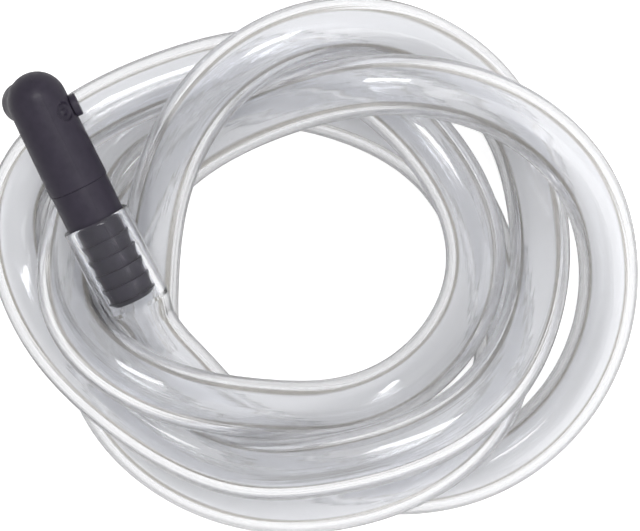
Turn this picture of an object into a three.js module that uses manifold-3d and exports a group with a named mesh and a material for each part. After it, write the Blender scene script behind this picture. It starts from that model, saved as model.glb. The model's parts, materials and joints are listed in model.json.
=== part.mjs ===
// Aquarium siphon hose with a swivelling elbow nozzle, lying coiled on a flat surface.
// Millimetres, +Z up. The origin is on the surface, straight below the nozzle body's shoulder.
import * as THREE from 'three';
import { mergeVertices } from 'three/addons/utils/BufferGeometryUtils.js';
import Module from 'manifold-3d';

const wasm = await Module();
wasm.setup();

const radians = THREE.MathUtils.degToRad;

// ---- driving dimensions ------------------------------------------------------------------

const roundSides = 32;            // facets round the nozzle's turned shapes
const fitGap = 0.3;               // between two pieces that lie against each other
const runningGap = 0.25;          // radial, where the head turns on the body

const hoseRadius = 9.525;         // 3/4 in outside diameter
const cuffStretch = 1.225;        // how much the barbs widen the hose's end
const hoseSides = 12;
const leadSteps = 8;

const neckWall = 1.1;             // between the neck's bore and its O-ring groove
const spigotCore = 7.15;
const barbRadius = 8;
const barbCount = 5;
const firstBarb = 6.2;            // from the shoulder to the first barb's crest
const barbPitch = 4.9;
const barbRise = 3;               // length of a barb's slope
const spigotTip = 1.7;            // from the last crest to the spigot's end

const collarRadius = 9.3;
const collarLength = 11.7;
const edgeBevel = 0.4;

const headWall = 1.8;
const sleeveRadius = 9.6;         // at the mouth of the head's sleeve
const sleeveTaper = 0.4;          // how much narrower the dome is
const domeHeight = 40.7;          // from the shoulder to the dome's centre, along the barrel
const spoutRadius = 6.5;
const spoutBore = 5;
const spoutReach = 22.5;          // from the barrel's axis to the spout's mouth
const spoutFlare = 1.2;           // how much wider the spout is where it leaves the barrel

const pinDrop = 6;                // from the dome's centre down to the retaining pin's axis
const pinShank = 1.3;             // radius of the shank that runs in the neck's groove
const pinHead = 3.6;              // radius of the head that stands out of the barrel
const pinSink = 0.3;              // how deep the head's underside lies below the barrel's surface
const pinProud = 1.9;             // height of the pin's end above the barrel
const pinTurn = radians(15.5);    // round the barrel, past square to the spout
const grooveDepth = 1.5;
const neckLip = 1.35;             // flange that the pin holds back, above its groove

const gateTurn = radians(42);     // round the barrel, from the pin to the moulding gate's recess
const gateRadius = 2.9;
const gateDepth = 0.7;
const gateNub = 1.2;              // radius of the nub left in the recess

const ringThickness = 1.7;        // O-ring cord
const ringOffset = 3.2;           // from the collar's top face to the O-ring's middle
const ringSides = 8;

const shoulderHeight = 46;        // the shoulder's centre above the surface
const heading = radians(25.4);    // the barrel points this far round from +Y towards -X
const tilt = radians(10.2);       // the dome's end is tipped up
const roll = radians(15.5);       // the spout swings this far out from straight down

const coilCentre = [69.5, -14.2];
const coilOuter = [103, 85];      // half sizes of the coil's outline
const coilEye = [44.5, 42];       // half sizes of the open middle
const eyeOffset = [-3, 3];
const coilHeight = 40;
const coilRounding = 14;
const sweepGap = 1;               // kept clear round the turning head

// The hose from the spigot down into the coil: chosen points after the spigot.
const leadPoints = [
  [19.3, -38.6, 36.5],
  [26.9, -47.2, 31.5],
  [38, -59.5, 24],
];

// ---- sizes that follow -------------------------------------------------------------------

const stretchedHoseRadius = hoseRadius + cuffStretch;
const domeRadius = sleeveRadius - sleeveTaper;
const pinSeat = domeRadius - pinSink;
const sleeveBore = sleeveRadius - headWall;
const neckRadius = sleeveBore - runningGap;
const chamberRadius = domeRadius - headWall;
const sleeveMouth = collarLength + fitGap;
const spigotLength = firstBarb + (barbCount - 1) * barbPitch + spigotTip;
const pinHeight = domeHeight - pinDrop;
const grooveHalf = pinShank + runningGap;
const neckTop = pinHeight + grooveHalf + neckLip;
const ringHeight = collarLength + ringOffset;
const ringOuter = sleeveBore - runningGap;
const ringInner = ringOuter - ringThickness;
const ringGrooveHalf = ringThickness / 2 + runningGap;
const waterway = ringInner - runningGap - neckWall;
const chamberStart = neckTop + 0.5;
const cuffLength = spigotLength + 3;
const cuffTaper = 4;
const sweepRadius = Math.hypot(spoutReach, spoutRadius) + sweepGap;
const sweepHalf = spoutRadius + sweepGap;

// ---- the nozzle's frame: Z along the barrel to the dome, X along the spout -----------------

function nozzleFrame() {
  const barrel = new THREE.Vector3(
    -Math.sin(heading) * Math.cos(tilt),
    Math.cos(heading) * Math.cos(tilt),
    Math.sin(tilt),
  );
  const level = new THREE.Vector3(Math.cos(heading), Math.sin(heading), 0);
  const down = new THREE.Vector3().crossVectors(barrel, level);
  const spout = down.multiplyScalar(Math.cos(roll)).addScaledVector(level, -Math.sin(roll));
  const side = new THREE.Vector3().crossVectors(barrel, spout);
  const frame = new THREE.Matrix4().makeBasis(spout, side, barrel);
  return frame.setPosition(0, 0, shoulderHeight);
}

const frame = nozzleFrame();

// ---- solids and booleans -----------------------------------------------------------------

function solid(geometry) {
  const bare = geometry.index ? geometry.toNonIndexed() : geometry.clone();
  bare.deleteAttribute('normal');
  bare.deleteAttribute('uv');
  const merged = mergeVertices(bare, 1e-4);
  return new wasm.Manifold(new wasm.Mesh({
    numProp: 3,
    vertProperties: new Float32Array(merged.attributes.position.array),
    triVerts: new Uint32Array(merged.index.array),
  }));
}

function geometryOf(body) {
  const mesh = body.getMesh();
  const geometry = new THREE.BufferGeometry();
  geometry.setAttribute('position', new THREE.BufferAttribute(mesh.vertProperties, 3));
  geometry.setIndex(new THREE.BufferAttribute(mesh.triVerts, 1));
  geometry.computeVertexNormals();
  return geometry;
}

// Turns a profile of [radius, height] points round the Z axis.
function turned(profile, sides = roundSides) {
  const points = profile.map(([radius, height]) => new THREE.Vector2(radius, height));
  return solid(new THREE.LatheGeometry(points, sides).rotateX(Math.PI / 2));
}

// A turned piece whose axis is the local X or Y axis, at a height on the barrel.
function turnedAcross(profile, direction, height, sides = roundSides) {
  const points = profile.map(([radius, along]) => new THREE.Vector2(radius, along));
  const geometry = new THREE.LatheGeometry(points, sides);
  const turn = new THREE.Quaternion().setFromUnitVectors(new THREE.Vector3(0, 1, 0), direction);
  geometry.applyQuaternion(turn);
  geometry.translate(0, 0, height);
  return solid(geometry);
}

// A direction square to the barrel, turned from its side away from the spout.
function aroundBarrel(turn) {
  return new THREE.Vector3(-Math.sin(turn), -Math.cos(turn), 0);
}

function material(colour, roughness) {
  return new THREE.MeshStandardMaterial({ color: colour, roughness, metalness: 0 });
}

function piece(name, body, finish) {
  const mesh = new THREE.Mesh(geometryOf(body), finish);
  mesh.name = name;
  return mesh;
}

const blackPlastic = () => material(0x36343b, 0.5);
const blackRubber = () => material(0x141414, 0.8);
const clearVinyl = () => material(0xe4e5ea, 0.15);

// ---- nozzle body: barbed spigot, collar and the neck that the head turns on ----------------

function barbProfile() {
  const points = [[spigotCore - 1, -spigotLength]];
  for (let i = barbCount - 1; i >= 0; i -= 1) {
    const crest = -(firstBarb + i * barbPitch);
    if (i < barbCount - 1) points.push([spigotCore, crest - barbRise]);
    points.push([barbRadius, crest]);
    points.push([spigotCore, crest]);
  }
  return points;
}

function grooveProfile(middle, half, depth) {
  return [
    [neckRadius, middle - half],
    [neckRadius - depth, middle - half],
    [neckRadius - depth, middle + half],
    [neckRadius, middle + half],
  ];
}

function nozzleBody() {
  const ringGrooveDepth = neckRadius - ringInner + runningGap;
  return turned([
    [waterway, -spigotLength],
    ...barbProfile(),
    [spigotCore, 0],
    [collarRadius - edgeBevel, 0],
    [collarRadius, edgeBevel],
    [collarRadius, collarLength - edgeBevel],
    [collarRadius - edgeBevel, collarLength],
    [neckRadius, collarLength],
    ...grooveProfile(ringHeight, ringGrooveHalf, ringGrooveDepth),
    ...grooveProfile(pinHeight, grooveHalf, grooveDepth),
    [neckRadius, neckTop - edgeBevel],
    [neckRadius - edgeBevel, neckTop],
    [waterway, neckTop],
    [waterway, -spigotLength],
  ]);
}

function oRing() {
  const middle = (ringInner + ringOuter) / 2;
  const profile = [];
  for (let i = 0; i <= ringSides; i += 1) {
    const angle = (i % ringSides) * 2 * Math.PI / ringSides;
    profile.push([
      middle + Math.cos(angle) * ringThickness / 2,
      ringHeight + Math.sin(angle) * ringThickness / 2,
    ]);
  }
  return turned(profile);
}

// ---- elbow head: sleeve, dome and spout ----------------------------------------------------

function domeProfile(radius, steps) {
  const points = [];
  for (let i = 0; i < steps; i += 1) {
    const angle = (i * Math.PI) / (2 * steps);
    points.push([radius * Math.cos(angle), domeHeight + radius * Math.sin(angle)]);
  }
  points.push([0, domeHeight + radius]);
  return points;
}

function headOutside() {
  const barrel = turned([
    [0, sleeveMouth],
    [sleeveRadius - edgeBevel, sleeveMouth],
    [sleeveRadius, sleeveMouth + edgeBevel],
    ...domeProfile(domeRadius, 8),
  ]);
  const spout = turnedAcross([
    [0, 0],
    [spoutRadius + spoutFlare, 0],
    [spoutRadius + spoutFlare, domeRadius - 1],
    [spoutRadius, domeRadius + 2],
    [spoutRadius, spoutReach - edgeBevel],
    [spoutRadius - edgeBevel, spoutReach],
    [0, spoutReach],
  ], new THREE.Vector3(1, 0, 0), domeHeight);
  return barrel.add(spout);
}

function headInside() {
  const bore = turned([
    [0, sleeveMouth - 1],
    [sleeveBore, sleeveMouth - 1],
    [sleeveBore, chamberStart],
    ...domeProfile(chamberRadius, 6),
  ]);
  const spout = turnedAcross([
    [0, 0],
    [spoutBore, 0],
    [spoutBore, spoutReach + 1],
    [0, spoutReach + 1],
  ], new THREE.Vector3(1, 0, 0), domeHeight, 24);
  const pinHole = turnedAcross([
    [0, 0],
    [pinShank + fitGap, 0],
    [pinShank + fitGap, pinSeat - fitGap],
    [pinHead + fitGap, pinSeat - fitGap],
    [pinHead + fitGap, sleeveRadius + 1],
    [0, sleeveRadius + 1],
  ], aroundBarrel(pinTurn), pinHeight, 24);
  return bore.add(spout).add(pinHole).add(gateRecess());
}

// The round dimple where the moulding was filled, with a nub left in its middle.
function gateRecess() {
  const floor = domeRadius - gateDepth;
  return turnedAcross([
    [gateNub, floor],
    [gateRadius - edgeBevel, floor],
    [gateRadius, floor + edgeBevel],
    [gateRadius, sleeveRadius + 1],
    [0, sleeveRadius + 1],
    [0, domeRadius - edgeBevel],
    [gateNub - edgeBevel, domeRadius - edgeBevel],
    [gateNub, floor],
  ], aroundBarrel(pinTurn + gateTurn), pinHeight, 24);
}

function elbowHead() {
  return headOutside().subtract(headInside());
}

// ---- retaining pin: pressed through the head's wall, its shank runs in the neck's groove ---

function retainingPin() {
  const tip = neckRadius - grooveDepth + runningGap;
  const end = domeRadius + pinProud;
  return turnedAcross([
    [0, tip],
    [pinShank, tip],
    [pinShank, pinSeat],
    [pinHead, pinSeat],
    [pinHead, end - edgeBevel],
    [pinHead - edgeBevel, end],
    [0, end],
  ], aroundBarrel(pinTurn), pinHeight, 24);
}

// ---- hose: the lead off the spigot and the coil that it goes into --------------------------

function inNozzleFrame(x, y, z) {
  return new THREE.Vector3(x, y, z).applyMatrix4(frame);
}

function leadPath() {
  return new THREE.CatmullRomCurve3([
    inNozzleFrame(0, 0, -cuffLength + 1),
    inNozzleFrame(0, 0, -cuffLength - cuffTaper),
    ...leadPoints.map((point) => new THREE.Vector3(...point)),
  ], false, 'centripetal');
}

function hoseTube(radius) {
  const section = new THREE.Shape();
  section.absarc(0, 0, radius, 0, 2 * Math.PI);
  return solid(new THREE.ExtrudeGeometry(section, {
    extrudePath: leadPath(),
    steps: leadSteps,
    curveSegments: hoseSides,
  }));
}

// The hose's end is stretched over the barbs, up to the shoulder.
function hoseLead() {
  const cuff = turned([
    [0, -cuffLength - cuffTaper],
    [hoseRadius, -cuffLength - cuffTaper],
    [stretchedHoseRadius, -cuffLength],
    [stretchedHoseRadius, -fitGap],
    [0, -fitGap],
  ]).transform(frame.elements);
  const room = turned([
    [0, -spigotLength - fitGap],
    [barbRadius + fitGap, -spigotLength - fitGap],
    [barbRadius + fitGap, 1],
    [0, 1],
  ]).transform(frame.elements);
  return cuff.add(hoseTube(hoseRadius)).subtract(room);
}

// The space that the nozzle and its turning head take out of the coil.
function nozzleRoom() {
  return turned([
    [0, -cuffLength - cuffTaper],
    [hoseRadius + fitGap, -cuffLength - cuffTaper],
    [stretchedHoseRadius + fitGap, -cuffLength],
    [stretchedHoseRadius + fitGap, domeHeight - sweepHalf],
    [sweepRadius, domeHeight - sweepHalf],
    [sweepRadius, domeHeight + sweepHalf],
    [0, domeHeight + sweepHalf],
  ]).transform(frame.elements);
}

function hoseCoil() {
  const outline = new THREE.Shape();
  outline.absellipse(0, 0, coilOuter[0] - coilRounding, coilOuter[1] - coilRounding, 0, 2 * Math.PI);
  const eye = new THREE.Path();
  const eyeHalf = coilEye.map((half) => half + coilRounding);
  eye.absellipse(...eyeOffset, ...eyeHalf, 0, 2 * Math.PI);
  outline.holes.push(eye);
  const ring = new THREE.ExtrudeGeometry(outline, {
    depth: coilHeight - 2 * coilRounding,
    bevelThickness: coilRounding,
    bevelSize: coilRounding,
    bevelSegments: 4,
    curveSegments: 24,
  });
  ring.translate(...coilCentre, coilRounding);
  const leadRoom = hoseTube(hoseRadius + fitGap);
  const pastTheEnd = leadPath().getTangent(1).multiplyScalar(fitGap);
  const rooms = [leadRoom, leadRoom.translate(pastTheEnd.toArray()), nozzleRoom()];
  return rooms.reduce((coil, room) => coil.subtract(room), solid(ring));
}

// ---- assembly ----------------------------------------------------------------------------

const nozzle = new THREE.Group();
nozzle.applyMatrix4(frame);
nozzle.add(
  piece('swivel_body', nozzleBody(), blackPlastic()),
  piece('o_ring', oRing(), blackRubber()),
  piece('elbow_head', elbowHead(), blackPlastic()),
  piece('retaining_pin', retainingPin(), blackPlastic()),
);

const siphon = new THREE.Group();
siphon.add(
  nozzle,
  piece('hose_lead', hoseLead(), clearVinyl()),
  piece('hose_coil', hoseCoil(), clearVinyl()),
);

export default siphon;
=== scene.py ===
"""Aquarium siphon hose with a swivelling elbow nozzle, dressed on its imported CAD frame."""
import json
import math

import bmesh
import bpy
import numpy as np
from mathutils import Matrix, Vector

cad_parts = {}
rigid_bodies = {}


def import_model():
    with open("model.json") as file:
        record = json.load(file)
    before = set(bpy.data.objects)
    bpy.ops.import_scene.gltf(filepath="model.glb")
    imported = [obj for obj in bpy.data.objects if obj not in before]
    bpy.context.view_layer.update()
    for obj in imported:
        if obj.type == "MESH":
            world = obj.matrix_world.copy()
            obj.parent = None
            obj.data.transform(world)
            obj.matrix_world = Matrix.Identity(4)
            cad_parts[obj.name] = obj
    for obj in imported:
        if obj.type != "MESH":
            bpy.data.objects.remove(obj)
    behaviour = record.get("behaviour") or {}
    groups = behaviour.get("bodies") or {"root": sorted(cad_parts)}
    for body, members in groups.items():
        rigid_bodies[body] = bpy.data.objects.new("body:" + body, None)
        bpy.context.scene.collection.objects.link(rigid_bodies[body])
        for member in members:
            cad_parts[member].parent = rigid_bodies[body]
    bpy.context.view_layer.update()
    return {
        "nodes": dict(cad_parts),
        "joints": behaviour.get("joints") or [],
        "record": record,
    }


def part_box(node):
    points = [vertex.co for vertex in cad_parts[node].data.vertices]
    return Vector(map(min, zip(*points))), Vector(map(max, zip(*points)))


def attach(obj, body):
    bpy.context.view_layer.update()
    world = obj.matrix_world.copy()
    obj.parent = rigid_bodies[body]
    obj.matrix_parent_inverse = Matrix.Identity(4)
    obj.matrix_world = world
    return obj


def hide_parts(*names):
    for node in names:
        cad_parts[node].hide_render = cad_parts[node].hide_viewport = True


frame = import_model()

MM = 0.001
TINY = 1e-9
SAME_PLACE = 1e-7
scene = bpy.context.scene

# ---- places and sizes that come from the frame -----------------------------------------------

swivel = frame["joints"][0]
shoulder = Vector(swivel["pos_m"])
barrel_axis = Vector(swivel["axis"]).normalized()
mounts = {mount["name"]: mount for mount in frame["record"]["mounts"]}
spout_axis = Vector(mounts["spout_mouth"]["axis"]).normalized()
side_axis = barrel_axis.cross(spout_axis).normalized()

HEAD_BODY = swivel["child"]
HOSE_BODY = swivel["parent"]

# The nozzle's own frame: X along the spout, Z along the barrel to the dome.
nozzle_frame = Matrix((spout_axis, side_axis, barrel_axis)).transposed().to_4x4()
nozzle_frame.translation = shoulder

# ---- camera ----------------------------------------------------------------------------------

FRAME_WIDTH_PX = 640
CAMERA_HEIGHT = 0.9
FOCAL_PX = 2760.6
SENSOR_WIDTH = 36.0
VIEW_DEPTH = 20

coil_low, coil_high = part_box("hose_coil")
coil_middle = (coil_low + coil_high) / 2


def make_camera():
    """Looks straight down at the coil's middle, as in the photograph."""
    data = bpy.data.cameras.new("camera")
    data.sensor_width = SENSOR_WIDTH
    data.lens = FOCAL_PX * SENSOR_WIDTH / FRAME_WIDTH_PX
    data.clip_end = VIEW_DEPTH
    camera = bpy.data.objects.new("camera", data)
    camera.location = (coil_middle.x, coil_middle.y, CAMERA_HEIGHT)
    scene.collection.objects.link(camera)
    scene.camera = camera


make_camera()

# ---- the hose's route ------------------------------------------------------------------------

HOSE_DIAMETER = 19.05 * MM
HOSE_BORE = 12.7 * MM
STEP = 5 * MM

# Where the hose is held straight on the spigot, as distances from the shoulder, and then its
# lead down into the coil. Both are in millimetres, as in part.mjs.
STRAIGHT = (0.3, 16, 33)
LEAD = [(19.3, -38.6, 36.5), (26.9, -47.2, 31.5), (38, -59.5, 24)]

# The coil, as it was thrown down: at every angle step, its distance from the eye's middle, and
# how many hoses lie under it there before it settles. One block is a turn, in millimetres.
EYE_MIDDLE = (66.5, -11)
FIRST_ANGLE = 270
ANGLE_STEP = 30
COIL = [
    [
        (69, 0), (84, 0), (95.5, 0), (95.5, 0), (81, 1), (61, 2),
        (51, 1.7), (48, 1), (56, 0.3), (66, 0), (80, 0), (82, 0.2),
    ],
    [
        (78, 0.9), (77, 0.9), (72.5, 0), (57, 0), (52, 0), (48, 0),
        (50, 0), (59, 0), (75, 0.3), (77, 1.1), (68, 2), (55, 1.9),
    ],
    [
        (50, 1.2), (51, 1), (52, 0.9), (54, 1), (51, 1), (53.5, 0.9),
        (62, 0.8), (67, 1), (83, 0.8), (91, 0.2), (79, 1), (70, 1.3),
    ],
    [
        (65, 1.8), (67, 1.8), (72, 1.3), (72.5, 0.7), (78, 0.4), (77, 0.9),
        (68, 1.8), (60, 1.9), (52, 1.5), (52, 0.8), (61, 0),
    ],
]


def smooth_route(points, step):
    """A natural cubic spline through the points, sampled evenly."""
    samples_each = 40
    points = np.array(points, float)
    chord = np.linalg.norm(np.diff(points, axis=0), axis=1) ** 0.5
    knots = np.concatenate([[0], np.cumsum(chord)])
    count = len(points)
    gaps = np.diff(knots)
    system = np.zeros((count, count))
    target = np.zeros((count, 3))
    system[0, 0] = system[-1, -1] = 1
    slopes = np.diff(points, axis=0) / gaps[:, None]
    for i in range(1, count - 1):
        system[i, i - 1] = gaps[i - 1]
        system[i, i] = 2 * (gaps[i - 1] + gaps[i])
        system[i, i + 1] = gaps[i]
        target[i] = 6 * (slopes[i] - slopes[i - 1])
    bend = np.linalg.solve(system, target)
    at = np.linspace(0, knots[-1], count * samples_each)
    k = np.clip(np.searchsorted(knots, at, side="right") - 1, 0, count - 2)
    gap = gaps[k][:, None]
    left = (knots[k + 1] - at)[:, None]
    right = (at - knots[k])[:, None]
    fine = (
        bend[k] * left ** 3 / (6 * gap)
        + bend[k + 1] * right ** 3 / (6 * gap)
        + (points[k] / gap - bend[k] * gap / 6) * left
        + (points[k + 1] / gap - bend[k + 1] * gap / 6) * right
    )
    return evenly(fine, step)


def lengths_along(points):
    return np.concatenate([[0], np.cumsum(np.linalg.norm(np.diff(points, axis=0), axis=1))])


def evenly(points, step):
    """The same line with its points a step apart."""
    along = lengths_along(points)
    count = int(round(along[-1] / step)) + 1
    places = np.linspace(0, along[-1], count)
    return np.stack([np.interp(places, along, points[:, k]) for k in range(3)], axis=1)


def thrown_route():
    """The hose from the spigot into the coil, before it settles."""
    radius = HOSE_DIAMETER / 2
    points = [shoulder - barrel_axis * (distance * MM) for distance in STRAIGHT]
    points += [Vector(point) * MM for point in LEAD]
    angle = FIRST_ANGLE
    for turn in COIL:
        for distance, under in turn:
            x = EYE_MIDDLE[0] + distance * math.cos(math.radians(angle))
            y = EYE_MIDDLE[1] + distance * math.sin(math.radians(angle))
            points.append((x * MM, y * MM, radius + under * HOSE_DIAMETER))
            angle += ANGLE_STEP
    return smooth_route(points, STEP)


def settle(route, held):
    """Lets the hose sink until its turns lie on the floor and on each other, a diameter apart."""
    rounds = 200
    rounds_per_search = 5
    search_margin = 8 * MM
    drop = 0.25 * MM
    keep_plan = 0.1
    pushes = 4
    push_strength = 0.9
    plan_share = 0.5
    bends_per_push = 16
    stiffness = 0.06
    last_smoothings = 4
    clearance = 0.6 * MM
    radius = HOSE_DIAMETER / 2
    apart = HOSE_DIAMETER + clearance
    start = route.copy()
    route = route.copy()
    neighbours = int(3 * HOSE_DIAMETER / STEP)
    first, second = np.triu_indices(len(route), neighbours + 1)
    for step in range(rounds):
        if step % rounds_per_search == 0:
            close = (np.abs(route[first] - route[second]) < apart + search_margin).all(axis=1)
            a, b = first[close], second[close]
        route[:, 2] -= drop * (1 - step / rounds)
        route[:, :2] += keep_plan * (start[:, :2] - route[:, :2])
        for _ in range(pushes):
            move = push_apart(route, a, b, apart, plan_share)
            route += push_strength * move
            route[:, 2] = np.maximum(route[:, 2], radius)
            for _ in range(bends_per_push):
                route -= stiffness * bending(route)
            route[:held] = start[:held]
    for _ in range(last_smoothings):
        route[1:-1] += 0.25 * (route[:-2] + route[2:] - 2 * route[1:-1])
        route[:held] = start[:held]
    return route


def push_apart(route, a, b, apart, plan_share):
    """How far each point moves so that points a and b get apart, less in plan than in height."""
    between = route[a] - route[b]
    distance = np.linalg.norm(between, axis=1)
    push = np.maximum(apart - distance, 0)
    direction = between / np.maximum(distance, TINY)[:, None]
    direction[:, :2] *= plan_share
    shift = 0.5 * push[:, None] * direction
    move = np.zeros_like(route)
    touching = np.zeros(len(route))
    np.add.at(move, a, shift)
    np.add.at(move, b, -shift)
    np.add.at(touching, a, push > 0)
    np.add.at(touching, b, push > 0)
    return move / np.maximum(np.sqrt(touching), 1)[:, None]


def bending(route):
    """The force with which the hose's stiffness pulls at each point."""
    curve = np.zeros_like(route)
    curve[1:-1] = route[:-2] + route[2:] - 2 * route[1:-1]
    force = np.zeros_like(route)
    force[2:-2] = curve[1:-3] + curve[3:-1] - 2 * curve[2:-2]
    return force


def held_points():
    """How many points the nozzle and the lead hold in place."""
    lead_end = Vector(LEAD[-1]) * MM
    straight = STRAIGHT[-1] * MM
    return int((straight + (lead_end - (shoulder - barrel_axis * straight)).length) / STEP) + 1


hose_route = settle(thrown_route(), held_points())

# ---- mesh building ---------------------------------------------------------------------------


def add_object(name, mesh):
    thing = bpy.data.objects.new(name, mesh)
    scene.collection.objects.link(thing)
    return thing


def smooth(mesh):
    """Shades a mesh smooth."""
    mesh.polygons.foreach_set("use_smooth", [True] * len(mesh.polygons))
    mesh.update()


def carried_frames(route):
    """Tangents, and normals that turn as little as they can along the route."""
    tangents = np.gradient(route, axis=0)
    tangents /= np.linalg.norm(tangents, axis=1)[:, None]
    normals = np.zeros_like(route)
    normal = np.cross(tangents[0], (0, 0, 1))
    for i, tangent in enumerate(tangents):
        normal = normal - tangent * np.dot(normal, tangent)
        normal /= np.linalg.norm(normal)
        normals[i] = normal
    return tangents, normals, np.cross(tangents, normals)


def add_grid(build, grid, uv, along):
    """Quads between rings of vertices, and from the last ring to the first."""
    sides = len(grid[0])
    rows = len(grid)
    faces = []
    for r in range(rows):
        here, there = grid[r], grid[(r + 1) % rows]
        for i in range(sides):
            j = (i + 1) % sides
            face = build.faces.new((here[i], there[i], there[j], here[j]))
            corners = ((i, r), (i, r + 1), (i + 1, r + 1), (i + 1, r))
            for loop, (u, v) in zip(face.loops, corners):
                loop[uv].uv = (u / sides, along[v % rows])
            faces.append(face)
    return faces


# ---- hose ------------------------------------------------------------------------------------

# The cuff is the end of the hose that is stretched over the spigot.
TUBE_SIDES = 32
CUFF_LENGTH = 29 * MM
CUFF_TAPER = 8 * MM
CUFF_STEP = 0.7 * MM
CUFF_RADIUS = 10.75 * MM
END_ROUNDING = 0.5 * MM

# The barbs' places are distances from the shoulder. Between two barbs the hose sinks into a trough,
# and a share of the trough shows on its outside.
BARB_RADIUS = 8 * MM
BARB_COUNT = 5
FIRST_BARB = 6.2 * MM
BARB_PITCH = 4.9 * MM
BARB_CLEARANCE = 0.12 * MM
TROUGH_DEPTH = 0.08 * MM
TROUGH_SHOWS = 0.3

BORE_SLOT = 1
CUFF_SLOT = 2


def ease(value):
    """Goes smoothly from 0 to 1."""
    value = min(max(value, 0), 1)
    return value * value * (3 - 2 * value)


def trough(distance):
    """How far the hose has sunk between two barbs, at a distance from the shoulder."""
    from_first = (distance - FIRST_BARB) / BARB_PITCH
    if from_first < 0 or from_first > BARB_COUNT - 1:
        return 0
    return TROUGH_DEPTH * math.sin(math.pi * from_first) ** 2


def hose_sections(along):
    """Rings of (centre index, radius, shift along the tangent): out along the wall, back in the bore."""
    outer, inner = [], []
    for i, distance in enumerate(along):
        narrow = ease((distance - CUFF_LENGTH) / CUFF_TAPER)
        cuff = CUFF_RADIUS - TROUGH_SHOWS * trough(distance)
        cuff_bore = BARB_RADIUS + BARB_CLEARANCE - trough(distance)
        outer.append((i, cuff + (HOSE_DIAMETER / 2 - cuff) * narrow, 0))
        inner.append((i, cuff_bore + (HOSE_BORE / 2 - cuff_bore) * narrow, 0))
    near_end = rounded_end(outer[0], inner[0], -END_ROUNDING)
    far_end = rounded_end(outer[-1], inner[-1], END_ROUNDING)
    return outer + far_end + inner[::-1] + near_end[::-1]


def rounded_end(outer, inner, shift):
    """The two rings at a cut end of the hose, from its outside to its bore."""
    index = outer[0]
    return [(index, outer[1] - END_ROUNDING, shift), (index, inner[1] + END_ROUNDING, shift)]


def stations(route):
    """Points along the route: close together in the cuff, then every half step."""
    curve = smooth_route(route, CUFF_STEP)
    cuff_end = int((CUFF_LENGTH + CUFF_TAPER) / CUFF_STEP)
    stride = int(STEP / 2 / CUFF_STEP)
    return np.concatenate([curve[:cuff_end], curve[cuff_end::stride]])


def make_hose(route):
    """One hollow tube along the route, and the centreline that it was built on."""
    centreline = stations(route)
    along = lengths_along(centreline)
    tangents, normals, binormals = carried_frames(centreline)
    mesh = bpy.data.meshes.new("clear_hose")
    build = bmesh.new()
    uv = build.loops.layers.uv.new("UVMap")
    grid = []
    distances = []
    for index, radius, shift in hose_sections(along):
        centre = centreline[index] + tangents[index] * shift
        ring = []
        for i in range(TUBE_SIDES):
            angle = 2 * math.pi * i / TUBE_SIDES
            outward = math.cos(angle) * normals[index] + math.sin(angle) * binormals[index]
            ring.append(build.verts.new(centre + radius * outward))
        grid.append(ring)
        distances.append(along[index])
    faces = add_grid(build, grid, uv, distances)
    cuff_rings = np.count_nonzero(along < CUFF_LENGTH)
    cuff_end = cuff_rings * TUBE_SIDES
    bore_start = (len(centreline) + 1) * TUBE_SIDES
    bore_end = (len(grid) - 2 - cuff_rings) * TUBE_SIDES
    for face in faces[bore_start:bore_end]:
        face.material_index = BORE_SLOT
    for face in faces[:cuff_end] + faces[bore_end:]:
        face.material_index = CUFF_SLOT
    bmesh.ops.recalc_face_normals(build, faces=build.faces)
    build.to_mesh(mesh)
    build.free()
    smooth(mesh)
    return add_object("clear_hose", mesh), centreline


hose, hose_centreline = make_hose(hose_route)
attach(hose, HOSE_BODY)
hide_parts("hose_lead", "hose_coil")

# ---- nozzle ----------------------------------------------------------------------------------

# EDGE and SHARP_EDGE are the roundings of the moulded edges. SEAM is the gap between the head and
# the collar, and CAD_SEAM is the CAD's. PAST is how far a cutter runs past what it cuts.
ROUND_SIDES = 128
SPOUT_SIDES = 96
SMALL_SIDES = 64
RECESS_SIDES = 48
EDGE = 0.35 * MM
SHARP_EDGE = 0.12 * MM
SEAM = 0.02 * MM
CAD_SEAM = 0.3 * MM
INSIDE_CLEARANCE = 0.25 * MM
PAST = 1 * MM


def in_nozzle(node):
    """A CAD node's lowest and highest corners in the nozzle's own frame."""
    thing = frame["nodes"][node]
    to_nozzle = nozzle_frame.inverted()
    places = [thing.matrix_world @ vertex.co for vertex in thing.data.vertices]
    points = np.array([to_nozzle @ place for place in places])
    return Vector(points.min(axis=0)), Vector(points.max(axis=0))


body_low, body_high = in_nozzle("swivel_body")
head_low, head_high = in_nozzle("elbow_head")
pin_low, pin_high = in_nozzle("retaining_pin")
ring_low, ring_high = in_nozzle("o_ring")

COLLAR_RADIUS = body_high.y
COLLAR_TOP = head_low.z - CAD_SEAM
SPIGOT_CORE = 7.15 * MM
TIP_CHAMFER = 1 * MM
NECK_RADIUS = 7.55 * MM
WATERWAY = 4.5 * MM
BARB_RISE = 3 * MM
GROOVE_HALF = 1.55 * MM
GROOVE_DEPTH = 1.5 * MM
RING_GROOVE_HALF = 1.1 * MM
RING_MIDDLE = (ring_low.z + ring_high.z) / 2
RING_THICKNESS = ring_high.z - ring_low.z
RING_RADIUS = ring_high.y

SLEEVE_RADIUS = head_high.y
SLEEVE_BORE = SLEEVE_RADIUS - 1.8 * MM
CHAMBER_START = 0.5 * MM
DOME_RADIUS = SLEEVE_RADIUS - 0.4 * MM
DOME_HEIGHT = head_high.z - DOME_RADIUS
SPOUT_REACH = head_high.x
SPOUT_RADIUS = 6.5 * MM
SPOUT_BORE = 5 * MM
SPOUT_FLARE = 1.2 * MM
FLARE_SINK = 1 * MM
FLARE_LENGTH = 3 * MM
FLARE_STEPS = 8
HEAD_VOXEL = 0.27 * MM
HEAD_SOFTENING = 3

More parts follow.
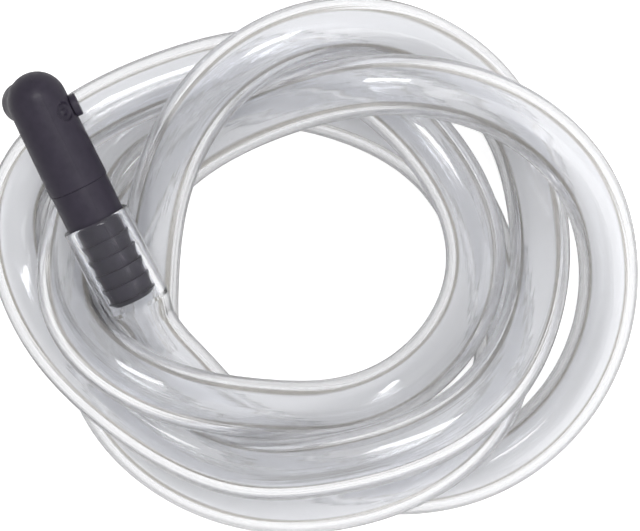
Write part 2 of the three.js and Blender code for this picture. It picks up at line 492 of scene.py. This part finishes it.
PIN_HEIGHT = (pin_low.z + pin_high.z) / 2
PIN_HEAD = (pin_high.z - pin_low.z) / 2
PIN_SHANK = 1.3 * MM
PIN_TURN = math.radians(15.5)
PIN_PROUD = 1.9 * MM
PIN_CLEARANCE = 0.12 * MM
PIN_SEAT = DOME_RADIUS - 0.3 * MM
GATE_TURN = math.radians(42)
GATE_RADIUS = 2.9 * MM
GATE_DEPTH = 1.1 * MM
GATE_NUB = 1.1 * MM
NUB_TOP = DOME_RADIUS - 0.5 * MM


def arc(centre, radius, start, end, steps):
    """Points on an arc, from one angle to another in degrees."""
    angles = [math.radians(start + (end - start) * i / steps) for i in range(steps + 1)]
    points = [(centre[0] + radius * math.cos(a), centre[1] + radius * math.sin(a)) for a in angles]
    return [(0 if x < TINY else x, y) for x, y in points]


def rounded(profile, radius):
    """A closed outline with its sharp corners rounded off, apart from those on the axis."""
    steps = 3
    share_of_side = 0.45
    nearly_straight = math.radians(150)
    points = [Vector(point) for point in profile]
    out = []
    for i, corner in enumerate(points):
        before = points[i - 1] - corner
        after = points[(i + 1) % len(points)] - corner
        if corner.x < TINY or before.angle(after) > nearly_straight:
            out.append(corner)
            continue
        reach = min(radius, share_of_side * before.length, share_of_side * after.length)
        start = corner + before.normalized() * reach
        end = corner + after.normalized() * reach
        for k in range(steps + 1):
            t = k / steps
            out.append(start * (1 - t) ** 2 + corner * (2 * t * (1 - t)) + end * t ** 2)
    return [tuple(point) for point in out]


def turned(name, profile, turn=None, sides=ROUND_SIDES):
    """An outline of (radius, height) turned round Z: it starts and ends on the axis, or is a ring's."""
    mesh = bpy.data.meshes.new(name)
    build = bmesh.new()
    points = [build.verts.new((radius, 0, height)) for radius, height in profile]
    edges = [build.edges.new(pair) for pair in zip(points, points[1:])]
    if profile[0][0] > 0:
        edges.append(build.edges.new((points[-1], points[0])))
    bmesh.ops.spin(
        build, geom=points + edges, cent=(0, 0, 0), axis=(0, 0, 1),
        angle=2 * math.pi, steps=sides, use_merge=True,
    )
    bmesh.ops.remove_doubles(build, verts=build.verts, dist=SAME_PLACE)
    bmesh.ops.recalc_face_normals(build, faces=build.faces)
    if turn is not None:
        bmesh.ops.transform(build, matrix=turn, verts=build.verts)
    build.to_mesh(mesh)
    build.free()
    smooth(mesh)
    return add_object(name, mesh)


def across(direction, height):
    """Turns a piece's Z axis to a direction square to the barrel, at a height on the barrel."""
    turn = Vector(direction).to_track_quat("Z", "Y").to_matrix().to_4x4()
    turn.translation = (0, 0, height)
    return turn


def around_barrel(turn):
    """A direction square to the barrel, turned round it from the side of the spout."""
    return (-math.sin(turn), -math.cos(turn), 0)


def combine(target, tools, operation):
    """Joins other solids to one, or cuts them out of it."""
    for tool in tools:
        change = target.modifiers.new("combine", "BOOLEAN")
        change.operation = operation
        change.solver = "EXACT"
        change.object = tool
    apply_modifiers(target)
    for tool in tools:
        bpy.data.objects.remove(tool)


def apply_modifiers(thing):
    bpy.context.view_layer.update()
    changed = thing.evaluated_get(bpy.context.evaluated_depsgraph_get())
    result = bpy.data.meshes.new_from_object(changed)
    thing.modifiers.clear()
    thing.data = result
    smooth(result)


def barbs():
    """The spigot's outline from its tip up to the shoulder: each barb slopes up and drops."""
    points = [(SPIGOT_CORE - TIP_CHAMFER, body_low.z)]
    for i in reversed(range(BARB_COUNT)):
        crest = -(FIRST_BARB + i * BARB_PITCH)
        if i < BARB_COUNT - 1:
            points.append((SPIGOT_CORE, crest - BARB_RISE))
        points += [(BARB_RADIUS, crest), (SPIGOT_CORE, crest)]
    return points


def groove(middle, half, depth):
    """The outline of a groove round the neck."""
    floor = NECK_RADIUS - depth
    return [
        (NECK_RADIUS, middle - half),
        (floor, middle - half),
        (floor, middle + half),
        (NECK_RADIUS, middle + half),
    ]


def swivel_body():
    """The spigot with its barbs, the collar, and the neck that the head turns on."""
    ring_depth = NECK_RADIUS - (RING_RADIUS - RING_THICKNESS) + INSIDE_CLEARANCE
    profile = [
        (WATERWAY, body_low.z),
        *barbs(),
        (SPIGOT_CORE, 0),
        (COLLAR_RADIUS, 0),
        (COLLAR_RADIUS, COLLAR_TOP),
        (NECK_RADIUS, COLLAR_TOP),
        *groove(RING_MIDDLE, RING_GROOVE_HALF, ring_depth),
        *groove(PIN_HEIGHT, GROOVE_HALF, GROOVE_DEPTH),
        (NECK_RADIUS, body_high.z),
        (WATERWAY, body_high.z),
    ]
    return turned("swivel_body_moulding", rounded(profile, SHARP_EDGE))


def head_outside():
    """The sleeve with its dome, joined to the spout."""
    barrel = turned("head", [
        (0, COLLAR_TOP + SEAM),
        *arc((SLEEVE_RADIUS - SHARP_EDGE, COLLAR_TOP + SEAM + SHARP_EDGE), SHARP_EDGE, -90, 0, 4),
        *arc((0, DOME_HEIGHT), DOME_RADIUS, 0, 90, 24),
    ])
    flare = []
    for i in range(FLARE_STEPS + 1):
        way = i / FLARE_STEPS
        radius = SPOUT_RADIUS + SPOUT_FLARE * (1 - ease(way))
        flare.append((radius, DOME_RADIUS - FLARE_SINK + way * FLARE_LENGTH))
    spout = turned("spout", [
        (0, 0),
        (SPOUT_RADIUS + SPOUT_FLARE, 0),
        *flare,
        *arc((SPOUT_RADIUS - EDGE, SPOUT_REACH - EDGE), EDGE, 0, 90, 4),
        (0, SPOUT_REACH),
    ], across((1, 0, 0), DOME_HEIGHT), SPOUT_SIDES)
    combine(barrel, [spout], "UNION")
    return barrel


def head_inside():
    """What is cut out of the head: its chamber, the way out, the pin's hole and the gate's recess."""
    chamber = DOME_RADIUS - (SLEEVE_RADIUS - SLEEVE_BORE)
    bore = turned("bore", [
        (0, COLLAR_TOP - PAST),
        (SLEEVE_BORE, COLLAR_TOP - PAST),
        (SLEEVE_BORE, body_high.z + CHAMBER_START),
        *arc((0, DOME_HEIGHT), chamber, 0, 90, 12),
    ])
    way_out = turned("way_out", [
        (0, 0),
        (SPOUT_BORE, 0),
        (SPOUT_BORE, SPOUT_REACH - EDGE),
        (SPOUT_BORE + EDGE, SPOUT_REACH + EDGE),
        (0, SPOUT_REACH + EDGE),
    ], across((1, 0, 0), DOME_HEIGHT), SMALL_SIDES)
    shank_hole = PIN_SHANK + PIN_CLEARANCE
    seat_hole = PIN_HEAD + PIN_CLEARANCE
    pin_hole = turned("pin_hole", [
        (0, NECK_RADIUS),
        (shank_hole, NECK_RADIUS),
        (shank_hole, PIN_SEAT - PIN_CLEARANCE),
        (seat_hole, PIN_SEAT - PIN_CLEARANCE),
        (seat_hole, SLEEVE_RADIUS + PAST),
        (0, SLEEVE_RADIUS + PAST),
    ], across(around_barrel(PIN_TURN), PIN_HEIGHT), RECESS_SIDES)
    floor = DOME_RADIUS - GATE_DEPTH
    gate = turned("gate", [
        (0, NUB_TOP),
        (GATE_NUB - EDGE, NUB_TOP),
        (GATE_NUB, floor),
        (GATE_RADIUS - EDGE, floor),
        (GATE_RADIUS, floor + EDGE),
        (GATE_RADIUS, SLEEVE_RADIUS + PAST),
        (0, SLEEVE_RADIUS + PAST),
    ], across(around_barrel(PIN_TURN + GATE_TURN), PIN_HEIGHT), RECESS_SIDES)
    return [bore, way_out, pin_hole, gate]


def elbow_head():
    """One moulding: it is remeshed after the cuts, so that its corners are soft."""
    head = head_outside()
    head.name = "elbow_head_moulding"
    combine(head, head_inside(), "DIFFERENCE")
    remesh = head.modifiers.new("remesh", "REMESH")
    remesh.mode = "VOXEL"
    remesh.voxel_size = HEAD_VOXEL
    soften = head.modifiers.new("soften", "SMOOTH")
    soften.factor = 0.5
    soften.iterations = HEAD_SOFTENING
    apply_modifiers(head)
    return head


def retaining_pin():
    """The stud's head stands proud of the sleeve, and its shank runs in the neck's groove."""
    tip = NECK_RADIUS - GROOVE_DEPTH + INSIDE_CLEARANCE
    end = DOME_RADIUS + PIN_PROUD
    profile = [
        (0, tip),
        (PIN_SHANK, tip),
        (PIN_SHANK, PIN_SEAT),
        (PIN_HEAD, PIN_SEAT),
        (PIN_HEAD, end),
        (0, end),
    ]
    turn = across(around_barrel(PIN_TURN), PIN_HEIGHT)
    return turned("retaining_pin_stud", rounded(profile, EDGE), turn, SMALL_SIDES)


def o_ring():
    """A round section turned about the barrel."""
    sides = 24
    section = arc((RING_RADIUS - RING_THICKNESS / 2, RING_MIDDLE), RING_THICKNESS / 2, 0, 360, sides)
    return turned("o_ring_seal", section[:-1])


NOZZLE = {
    "swivel_body": (swivel_body, HOSE_BODY, "black_plastic"),
    "elbow_head": (elbow_head, HEAD_BODY, "black_plastic"),
    "retaining_pin": (retaining_pin, HEAD_BODY, "black_plastic"),
    "o_ring": (o_ring, HOSE_BODY, "black_rubber"),
}
nozzle_pieces = {}
for node, (make, body, slot) in NOZZLE.items():
    piece = make()
    piece.data.transform(nozzle_frame)
    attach(piece, body)
    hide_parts(node)
    nozzle_pieces[node] = piece

# ---- materials -------------------------------------------------------------------------------

VINYL_TINT = (0.974, 0.98, 1, 1)
VINYL_IOR = 1.52
WALL_CLEAR = 0.95
WALL_ROUGHNESS = 0.03
BORE_CLEAR = 0.91
BORE_ROUGHNESS = 0.15

# The cuff clings to the barbs, so its bore hardly shines. A lower IOR stands for that.
CUFF_CLEAR = 1
CUFF_IOR = 1.3

# Painted shade: a dark line painted into the bore's colour along its edge, between two values of Layer
# Weight's Facing.
PAINTED_SHADE_LINE = (0.25, 0.22, 0.17, 1)
PAINTED_SHADE_FROM = 0.14
PAINTED_SHADE_TO = 0.19

# The die's streaks: how fine they are round the wall and the bore, and along the hose.
WALL_STREAKS = 2.5
BORE_STREAKS = 3.25
STREAKS_ALONG = 0.3
WALL_STREAK_HEIGHT = 0.08 * MM
BORE_STREAK_HEIGHT = 0.25 * MM
CUFF_STREAK_HEIGHT = 0.02 * MM

PLASTIC_DARK = (0.016, 0.0128, 0.0234, 1)
PLASTIC_PALE = (0.0305, 0.0243, 0.04, 1)
PLASTIC_ROUGHNESS = (0.34, 0.5)
PLASTIC_SPECULAR = 0.3
MOTTLE_SCALE = 420
MOTTLE_SPREAD = (0.3, 0.7)
GRAIN_SCALE = 2600
GRAIN_SHARE = 0.5
PARTING_LINE = (0.08 * MM, 0.2 * MM)
PLASTIC_RELIEF = 0.035 * MM

RUBBER_DARK = (0.008, 0.008, 0.008, 1)
RUBBER_PALE = (0.016, 0.016, 0.015, 1)
RUBBER_ROUGHNESS = 0.7
RUBBER_SCALE = 1500
RUBBER_RELIEF = 0.02 * MM


def new_material(name):
    material = bpy.data.materials.new(name)
    material.use_nodes = True
    nodes = material.node_tree.nodes
    return material, nodes, material.node_tree.links, nodes["Principled BSDF"]


def map_range(nodes, links, source, low, high, to_low, to_high):
    """Maps a value smoothly from one range to another."""
    node = nodes.new("ShaderNodeMapRange")
    node.interpolation_type = "SMOOTHSTEP"
    node.inputs["From Min"].default_value = low
    node.inputs["From Max"].default_value = high
    node.inputs["To Min"].default_value = to_low
    node.inputs["To Max"].default_value = to_high
    links.new(source, node.inputs["Value"])
    return node.outputs["Result"]


def math_node(nodes, links, operation, *values):
    """Works out one value from numbers and sockets."""
    node = nodes.new("ShaderNodeMath")
    node.operation = operation
    for socket, value in zip(node.inputs, values):
        if isinstance(value, (int, float)):
            socket.default_value = value
        else:
            links.new(value, socket)
    return node.outputs[0]


def noise_of(nodes, links, place, scale, detail):
    noise = nodes.new("ShaderNodeTexNoise")
    noise.inputs["Scale"].default_value = scale
    noise.inputs["Detail"].default_value = detail
    links.new(place, noise.inputs["Vector"])
    return noise.outputs["Fac"]


def blend(nodes, links, share, first, second):
    """A colour between two colours."""
    mix = nodes.new("ShaderNodeMix")
    mix.data_type = "RGBA"
    factor, first_colour, second_colour = mix.inputs[0], mix.inputs[6], mix.inputs[7]
    links.new(share, factor)
    first_colour.default_value = first
    second_colour.default_value = second
    return mix.outputs[2]


def along_axis(nodes, links, place, axis):
    """A place's distance along an axis, from the world's middle."""
    along = nodes.new("ShaderNodeVectorMath")
    along.operation = "DOT_PRODUCT"
    along.inputs[1].default_value = axis
    links.new(place, along.inputs[0])
    return along.outputs["Value"]


def streaks(nodes, links, fineness):
    """Extrusion streaks: noise that changes quickly round the hose and slowly along it."""
    split = nodes.new("ShaderNodeSeparateXYZ")
    links.new(nodes.new("ShaderNodeUVMap").outputs[0], split.inputs[0])
    turn = math_node(nodes, links, "MULTIPLY", split.outputs["X"], 2 * math.pi)
    where = nodes.new("ShaderNodeCombineXYZ")
    for socket, operation in (("X", "COSINE"), ("Y", "SINE")):
        links.new(math_node(nodes, links, operation, turn), where.inputs[socket])
    links.new(math_node(nodes, links, "MULTIPLY", split.outputs["Y"], STREAKS_ALONG), where.inputs["Z"])
    return noise_of(nodes, links, where.outputs[0], fineness, 2)


def add_bump(nodes, links, shader, height, distance):
    bump = nodes.new("ShaderNodeBump")
    bump.inputs["Distance"].default_value = distance
    links.new(height, bump.inputs["Height"])
    links.new(bump.outputs[0], shader.inputs["Normal"])


def clear_vinyl(name, clear, ior, streak_height):
    """The hose's outside: glossy, with faint streaks from the die."""
    material, nodes, links, shader = new_material(name)
    shader.inputs["Base Color"].default_value = VINYL_TINT
    shader.inputs["Transmission Weight"].default_value = clear
    shader.inputs["IOR"].default_value = ior
    shader.inputs["Roughness"].default_value = WALL_ROUGHNESS
    add_bump(nodes, links, shader, streaks(nodes, links, WALL_STREAKS), streak_height)
    return material


def vinyl_bore():
    """The bore: hazier, with painted shade: its colour goes dark where it is seen at a grazing angle,
    along the bore's edge.
    """
    material, nodes, links, shader = new_material("vinyl_bore")
    shader.inputs["Transmission Weight"].default_value = BORE_CLEAR
    shader.inputs["IOR"].default_value = VINYL_IOR
    shader.inputs["Roughness"].default_value = BORE_ROUGHNESS
    facing = nodes.new("ShaderNodeLayerWeight")
    facing.inputs["Blend"].default_value = 0.5
    edge = map_range(nodes, links, facing.outputs["Facing"], PAINTED_SHADE_FROM, PAINTED_SHADE_TO, 0, 1)
    inside = nodes.new("ShaderNodeNewGeometry").outputs["Backfacing"]
    line = math_node(nodes, links, "MULTIPLY", edge, inside)
    # Painted shade: the bore's colour is blended to the dark line colour along its edge.
    links.new(blend(nodes, links, line, VINYL_TINT, PAINTED_SHADE_LINE), shader.inputs["Base Color"])
    add_bump(nodes, links, shader, streaks(nodes, links, BORE_STREAKS), BORE_STREAK_HEIGHT)
    return material


def black_plastic():
    """Black moulding with a faint mottle, a fine grain and the mould's parting line."""
    material, nodes, links, shader = new_material("black_plastic")
    place = nodes.new("ShaderNodeTexCoord").outputs["Object"]
    mottle = noise_of(nodes, links, place, MOTTLE_SCALE, 4)
    grain = noise_of(nodes, links, place, GRAIN_SCALE, 3)
    colour = blend(nodes, links, mottle, PLASTIC_DARK, PLASTIC_PALE)
    links.new(colour, shader.inputs["Base Color"])
    rough = map_range(nodes, links, mottle, *MOTTLE_SPREAD, *PLASTIC_ROUGHNESS)
    links.new(rough, shader.inputs["Roughness"])
    shader.inputs["Specular IOR Level"].default_value = PLASTIC_SPECULAR
    sideways = along_axis(nodes, links, place, side_axis)
    off_line = math_node(nodes, links, "SUBTRACT", sideways, shoulder.dot(side_axis))
    off_line = math_node(nodes, links, "ABSOLUTE", off_line)
    line = map_range(nodes, links, off_line, *PARTING_LINE, 1, 0)
    grain = math_node(nodes, links, "MULTIPLY", grain, GRAIN_SHARE)
    height = math_node(nodes, links, "ADD", grain, line)
    add_bump(nodes, links, shader, height, PLASTIC_RELIEF)
    return material


def black_rubber():
    material, nodes, links, shader = new_material("black_rubber")
    place = nodes.new("ShaderNodeTexCoord").outputs["Object"]
    grain = noise_of(nodes, links, place, RUBBER_SCALE, 2)
    links.new(blend(nodes, links, grain, RUBBER_DARK, RUBBER_PALE), shader.inputs["Base Color"])
    shader.inputs["Roughness"].default_value = RUBBER_ROUGHNESS
    add_bump(nodes, links, shader, grain, RUBBER_RELIEF)
    return material


def finish(piece, *materials):
    """Gives a piece its materials, in the order of its faces' slots."""
    for material in materials:
        piece.data.materials.append(material)


finish(
    hose,
    clear_vinyl("clear_vinyl", WALL_CLEAR, VINYL_IOR, WALL_STREAK_HEIGHT),
    vinyl_bore(),
    clear_vinyl("clear_vinyl_cuff", CUFF_CLEAR, CUFF_IOR, CUFF_STREAK_HEIGHT),
)
black = black_plastic()
for node, piece in nozzle_pieces.items():
    finish(piece, black_rubber() if node == "o_ring" else black)

# ---- floor, world and lamps ------------------------------------------------------------------

FLOOR_SIZE = 3
FLOOR_DROP = 0.2 * MM
FLOOR_COLOUR = (0.7, 0.7, 0.7, 1)
FLOOR_ROUGHNESS = 0.9
FLOOR_GLOW = 0.8
FLOOR_GLOW_THROUGH_HOSE = 0.33
WHITE = (1, 1, 1, 1)
DARK_SIDE = (-0.8, 0.6, -0.3)
SIDE_SPREAD = 0.9
SIDE_BRIGHT = 1.0
SIDE_DARK = 0.65
BOUNCES = 48


def make_floor():
    """A pale floor that the camera sees as white, apart from the hose's shadow."""
    mesh = bpy.data.meshes.new("floor")
    size = FLOOR_SIZE
    corners = [(-size, -size, 0), (size, -size, 0), (size, size, 0), (-size, size, 0)]
    mesh.from_pydata(corners, [], [(0, 1, 2, 3)])
    floor = add_object("floor", mesh)
    floor.location.z = -FLOOR_DROP
    material, nodes, links, shader = new_material("floor")
    shader.inputs["Base Color"].default_value = FLOOR_COLOUR
    shader.inputs["Roughness"].default_value = FLOOR_ROUGHNESS
    shader.inputs["Emission Color"].default_value = WHITE
    rays = nodes.new("ShaderNodeLightPath").outputs
    seen = math_node(nodes, links, "MULTIPLY", rays["Is Camera Ray"], FLOOR_GLOW)
    through = rays["Is Transmission Ray"]
    glow = math_node(nodes, links, "MULTIPLY_ADD", through, FLOOR_GLOW_THROUGH_HOSE, seen)
    links.new(glow, shader.inputs["Emission Strength"])
    finish(floor, material)


def make_world():
    """A soft studio, darker on one side."""
    world = bpy.data.worlds.new("world")
    scene.world = world
    world.use_nodes = True
    nodes = world.node_tree.nodes
    links = world.node_tree.links
    background = nodes["Background"]
    background.inputs["Color"].default_value = WHITE
    direction = nodes.new("ShaderNodeTexCoord").outputs["Generated"]
    towards = along_axis(nodes, links, direction, DARK_SIDE)
    strength = map_range(nodes, links, towards, -SIDE_SPREAD, SIDE_SPREAD, SIDE_BRIGHT, SIDE_DARK)
    links.new(strength, background.inputs["Strength"])


def make_lamp(name, place, long_side, short_side, watts):
    """A rectangular lamp that faces the coil's middle."""
    data = bpy.data.lights.new(name, "AREA")
    data.shape = "RECTANGLE"
    data.size = long_side
    data.size_y = short_side
    data.energy = watts
    lamp = bpy.data.objects.new(name, data)
    lamp.location = place
    lamp.rotation_euler = (coil_middle - Vector(place)).to_track_quat("-Z", "Y").to_euler()
    scene.collection.objects.link(lamp)


make_floor()
make_world()
make_lamp("key", place=(0.135, 0.343, 1.2), long_side=0.6, short_side=0.25, watts=5)
make_lamp("fill", place=(0.9, -0.5, 0.9), long_side=0.8, short_side=0.8, watts=3)

scene.view_settings.view_transform = "Standard"
scene.cycles.max_bounces = BOUNCES
scene.cycles.transmission_bounces = BOUNCES
